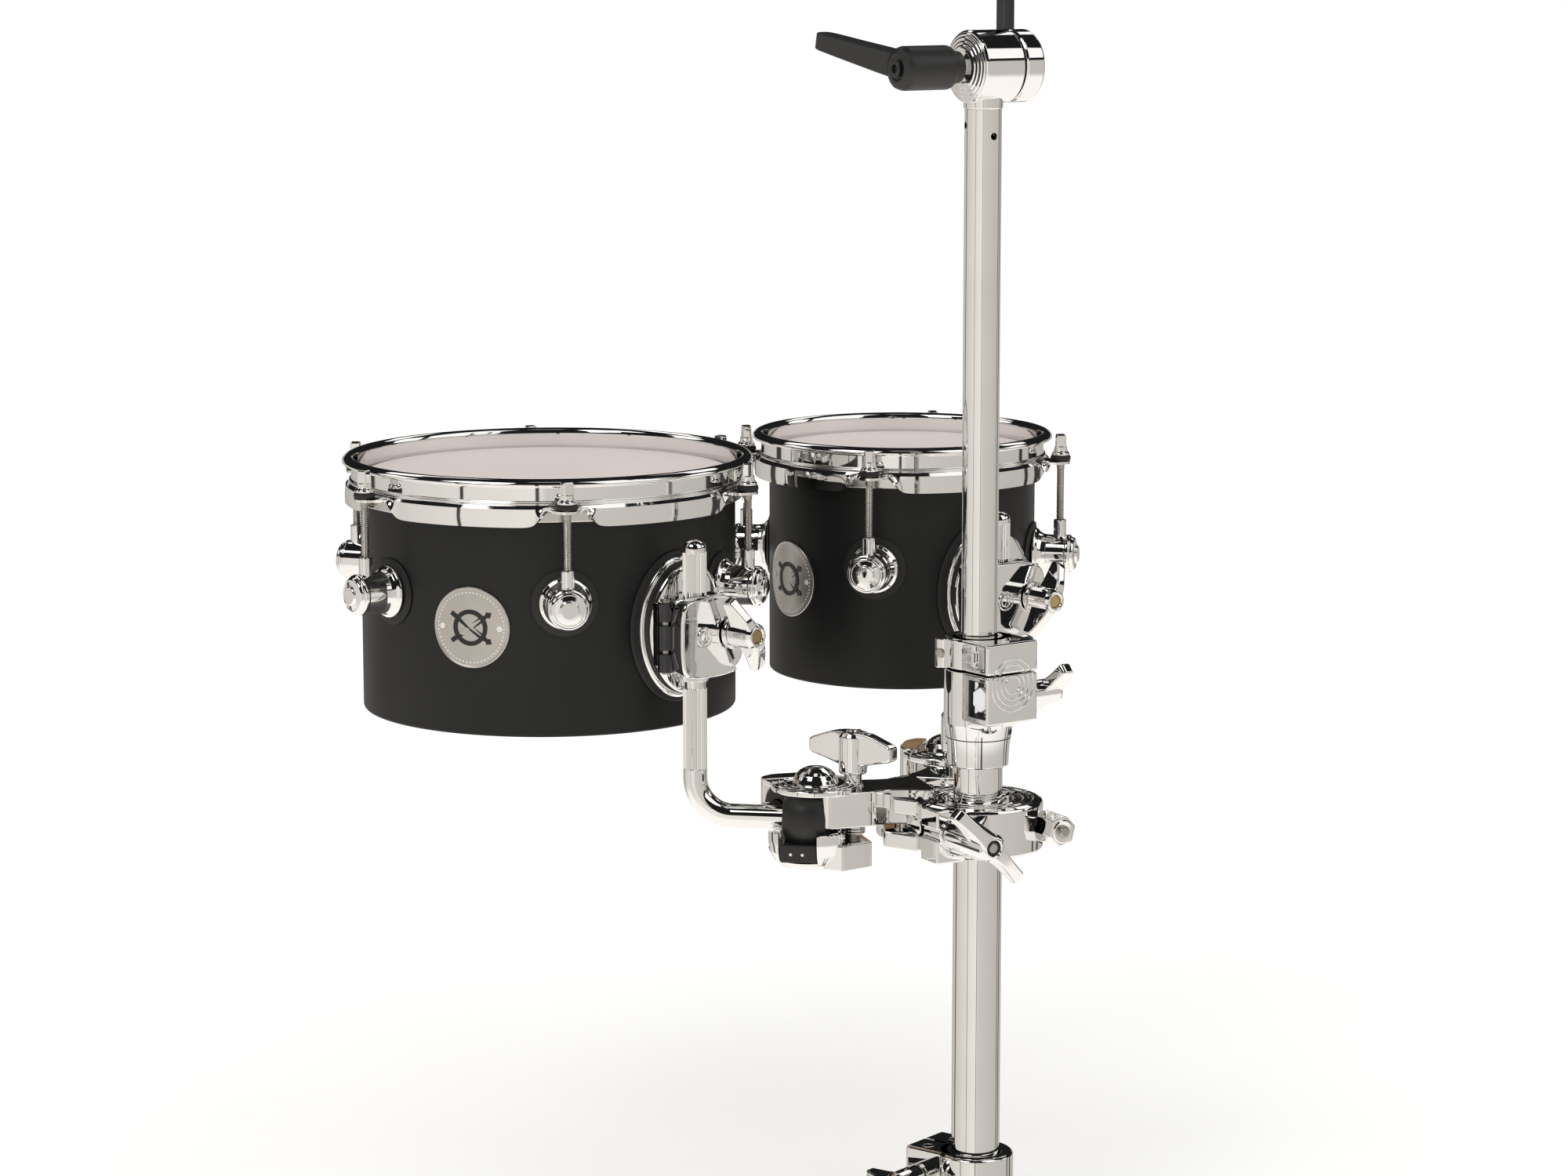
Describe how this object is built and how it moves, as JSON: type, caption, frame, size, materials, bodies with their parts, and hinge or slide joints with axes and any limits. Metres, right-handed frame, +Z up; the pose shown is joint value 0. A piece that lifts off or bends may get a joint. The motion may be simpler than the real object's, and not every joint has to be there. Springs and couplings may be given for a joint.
{
  "type": "timbales",
  "caption": "Pair of small single-headed timbales held by L-shaped rods and a two-armed clamp on the column of a boom stand.",
  "frame": {"origin": "centre of the lower end of the stand's lower tube, where the column leaves the tripod base", "axes": "+Z up along the column, -Y towards the player, +X to the player's right"},
  "size_m": [0.4191, 0.421, 0.72],
  "materials": {
    "chrome_plate": "polished chrome plate on steel or zinc",
    "plated_steel": "dull zinc-plated steel",
    "lacquered_shell": "satin black lacquer on laminated wood",
    "drumhead_film": "coated polyester film, warm white",
    "nickel_badge": "satin nickel",
    "nylon_ball": "black nylon",
    "black_lever": "satin black powder coat"
  },
  "bodies": {
    "stand": {"lower_tube": "chrome_plate", "base_clamp": "chrome_plate", "height_clamp": "chrome_plate", "height_bolt": "plated_steel"},
    "base_wing": {"base_clamp_wing": "chrome_plate"},
    "height_wing": {"height_wing_nut": "chrome_plate"},
    "mast": {"upper_tube": "chrome_plate", "memory_lock": "chrome_plate", "tilter_body": "chrome_plate"},
    "tilter": {"tilter_cap": "chrome_plate", "tilter_bolt": "plated_steel", "boom_rod": "chrome_plate"},
    "lever": {"tilter_lever": "black_lever"},
    "clamp": {"clamp_body": "chrome_plate", "clamp_wing_stud": "plated_steel"},
    "clamp_jaw": {"clamp_jaw": "chrome_plate", "clamp_hex_bolt": "chrome_plate"},
    "clamp_wing": {"clamp_wing_nut": "chrome_plate"},
    "large_jaw": {"large_arm_jaw": "chrome_plate"},
    "large_arm_bolt": {"large_arm_wing": "chrome_plate"},
    "large_ball": {"large_ball": "nylon_ball"},
    "large_rod": {"large_l_rod": "chrome_plate"},
    "large_drum": {"large_shell": "lacquered_shell", "large_head": "drumhead_film", "large_hoop": "chrome_plate", "large_badge": "nickel_badge", "large_mount_plate": "chrome_plate", "large_mount_bracket": "chrome_plate", "large_lug_1": "chrome_plate", "large_lug_2": "chrome_plate", "large_lug_3": "chrome_plate", "large_lug_4": "chrome_plate", "large_lug_5": "chrome_plate", "large_lug_6": "chrome_plate"},
    "large_mount_bolt": {"large_mount_wing": "chrome_plate"},
    "large_tension_1": {"large_tension_rod_1": "plated_steel"},
    "large_tension_2": {"large_tension_rod_2": "plated_steel"},
    "large_tension_3": {"large_tension_rod_3": "plated_steel"},
    "large_tension_4": {"large_tension_rod_4": "plated_steel"},
    "large_tension_5": {"large_tension_rod_5": "plated_steel"},
    "large_tension_6": {"large_tension_rod_6": "plated_steel"},
    "small_jaw": {"small_arm_jaw": "chrome_plate"},
    "small_arm_bolt": {"small_arm_wing": "chrome_plate"},
    "small_ball": {"small_ball": "nylon_ball"},
    "small_rod": {"small_l_rod": "chrome_plate"},
    "small_drum": {"small_shell": "lacquered_shell", "small_head": "drumhead_film", "small_hoop": "chrome_plate", "small_badge": "nickel_badge", "small_mount_plate": "chrome_plate", "small_mount_bracket": "chrome_plate", "small_lug_1": "chrome_plate", "small_lug_2": "chrome_plate", "small_lug_3": "chrome_plate", "small_lug_4": "chrome_plate"},
    "small_mount_bolt": {"small_mount_wing": "chrome_plate"},
    "small_tension_1": {"small_tension_rod_1": "plated_steel"},
    "small_tension_2": {"small_tension_rod_2": "plated_steel"},
    "small_tension_3": {"small_tension_rod_3": "plated_steel"},
    "small_tension_4": {"small_tension_rod_4": "plated_steel"}
  },
  "joints": [
    {"name": "base_wing_turn", "type": "hinge", "parent": "stand", "child": "base_wing", "pos_m": [-0.02049, 0.01601, 0.0235], "axis": [-0.6157, -0.788, 0], "continuous": true},
    {"name": "height_wing_turn", "type": "hinge", "parent": "stand", "child": "height_wing", "pos_m": [0.01146, -0.01578, 0.2855], "axis": [0.809, 0.5878, 0], "range_deg": [-180, 720]},
    {"name": "mast_height", "type": "slide", "parent": "stand", "child": "mast", "axis": [0, 0, 1], "range_m": [0, 0.09]},
    {"name": "boom_tilt", "type": "hinge", "parent": "mast", "child": "tilter", "pos_m": [0, 0, 0.6075], "axis": [0.8415, 0.5402, 0], "range_deg": [-90, 90]},
    {"name": "lever_turn", "type": "hinge", "parent": "mast", "child": "lever", "pos_m": [0, 0, 0.6075], "axis": [0.8415, 0.5402, 0], "continuous": true},
    {"name": "clamp_swing", "type": "hinge", "parent": "stand", "child": "clamp", "pos_m": [0, 0, 0.216], "axis": [0, 0, 1], "range_deg": [-170, 170]},
    {"name": "clamp_jaw_open", "type": "slide", "parent": "clamp", "child": "clamp_jaw", "axis": [0.5, -0.866, 0], "range_m": [0, 0.004]},
    {"name": "clamp_wing_turn", "type": "hinge", "parent": "clamp_jaw", "child": "clamp_wing", "pos_m": [-0.02252, -0.013, 0.216], "axis": [0.5, -0.866, 0], "range_deg": [-180, 1080]},
    {"name": "large_jaw_open", "type": "slide", "parent": "clamp", "child": "large_jaw", "axis": [0, 0, -1], "range_m": [0, 0.003]},
    {"name": "large_arm_bolt_turn", "type": "hinge", "parent": "clamp", "child": "large_arm_bolt", "pos_m": [-0.06495, 0.01568, 0.23], "axis": [0, 0, 1], "range_deg": [-180, 720]},
    {"name": "large_ball_swivel", "type": "hinge", "parent": "clamp", "child": "large_ball", "pos_m": [-0.088, 0.009, 0.216], "axis": [0, 0, 1], "range_deg": [-3, 16]},
    {"name": "large_rod_twist", "type": "hinge", "parent": "large_ball", "child": "large_rod", "pos_m": [-0.088, 0.009, 0.216], "axis": [0.9863, -0.165, 0], "range_deg": [-8, 8]},
    {"name": "large_drum_height", "type": "slide", "parent": "large_rod", "child": "large_drum", "axis": [0, 0, 1], "range_m": [-0.03, 0.02]},
    {"name": "large_mount_bolt_turn", "type": "hinge", "parent": "large_drum", "child": "large_mount_bolt", "pos_m": [-0.14109, 0.03591, 0.3125], "axis": [0.7009, -0.7133, 0], "range_deg": [-180, 720]},
    {"name": "large_tension_turn_1", "type": "hinge", "parent": "large_drum", "child": "large_tension_1", "pos_m": [-0.21286, 0.00004, 0.3293], "axis": [0, 0, 1], "continuous": true},
    {"name": "large_tension_turn_2", "type": "hinge", "parent": "large_drum", "child": "large_tension_2", "pos_m": [-0.12035, 0.07232, 0.3293], "axis": [0, 0, 1], "continuous": true},
    {"name": "large_tension_turn_3", "type": "hinge", "parent": "large_drum", "child": "large_tension_3", "pos_m": [-0.13669, 0.18858, 0.3293], "axis": [0, 0, 1], "continuous": true},
    {"name": "large_tension_turn_4", "type": "hinge", "parent": "large_drum", "child": "large_tension_4", "pos_m": [-0.24554, 0.23256, 0.3293], "axis": [0, 0, 1], "continuous": true},
    {"name": "large_tension_turn_5", "type": "hinge", "parent": "large_drum", "child": "large_tension_5", "pos_m": [-0.33805, 0.16028, 0.3293], "axis": [0, 0, 1], "continuous": true},
    {"name": "large_tension_turn_6", "type": "hinge", "parent": "large_drum", "child": "large_tension_6", "pos_m": [-0.32171, 0.04402, 0.3293], "axis": [0, 0, 1], "continuous": true},
    {"name": "small_jaw_open", "type": "slide", "parent": "clamp", "child": "small_jaw", "axis": [0, 0, -1], "range_m": [0, 0.003]},
    {"name": "small_arm_bolt_turn", "type": "hinge", "parent": "clamp", "child": "small_arm_bolt", "pos_m": [-0.00924, 0.07258, 0.23], "axis": [0, 0, 1], "range_deg": [-180, 720]},
    {"name": "small_ball_swivel", "type": "hinge", "parent": "clamp", "child": "small_ball", "pos_m": [-0.004, 0.096, 0.216], "axis": [0, 0, 1], "range_deg": [-16, 3]},
    {"name": "small_rod_twist", "type": "hinge", "parent": "small_ball", "child": "small_rod", "pos_m": [-0.004, 0.096, 0.216], "axis": [-0.3349, -0.9423, 0], "range_deg": [-8, 8]},
    {"name": "small_drum_height", "type": "slide", "parent": "small_rod", "child": "small_drum", "axis": [0, 0, 1], "range_m": [-0.03, 0.02]},
    {"name": "small_mount_bolt_turn", "type": "hinge", "parent": "small_drum", "child": "small_mount_bolt", "pos_m": [0.02703, 0.17352, 0.3085], "axis": [0.5878, -0.809, 0], "range_deg": [-180, 720]},
    {"name": "small_tension_turn_1", "type": "hinge", "parent": "small_drum", "child": "small_tension_1", "pos_m": [-0.054, 0.15586, 0.3228], "axis": [0, 0, 1], "continuous": true},
    {"name": "small_tension_turn_2", "type": "hinge", "parent": "small_drum", "child": "small_tension_2", "pos_m": [0.05634, 0.22481, 0.3228], "axis": [0, 0, 1], "continuous": true},
    {"name": "small_tension_turn_3", "type": "hinge", "parent": "small_drum", "child": "small_tension_3", "pos_m": [-0.0126, 0.33514, 0.3228], "axis": [0, 0, 1], "continuous": true},
    {"name": "small_tension_turn_4", "type": "hinge", "parent": "small_drum", "child": "small_tension_4", "pos_m": [-0.12294, 0.2662, 0.3228], "axis": [0, 0, 1], "continuous": true}
  ]
}
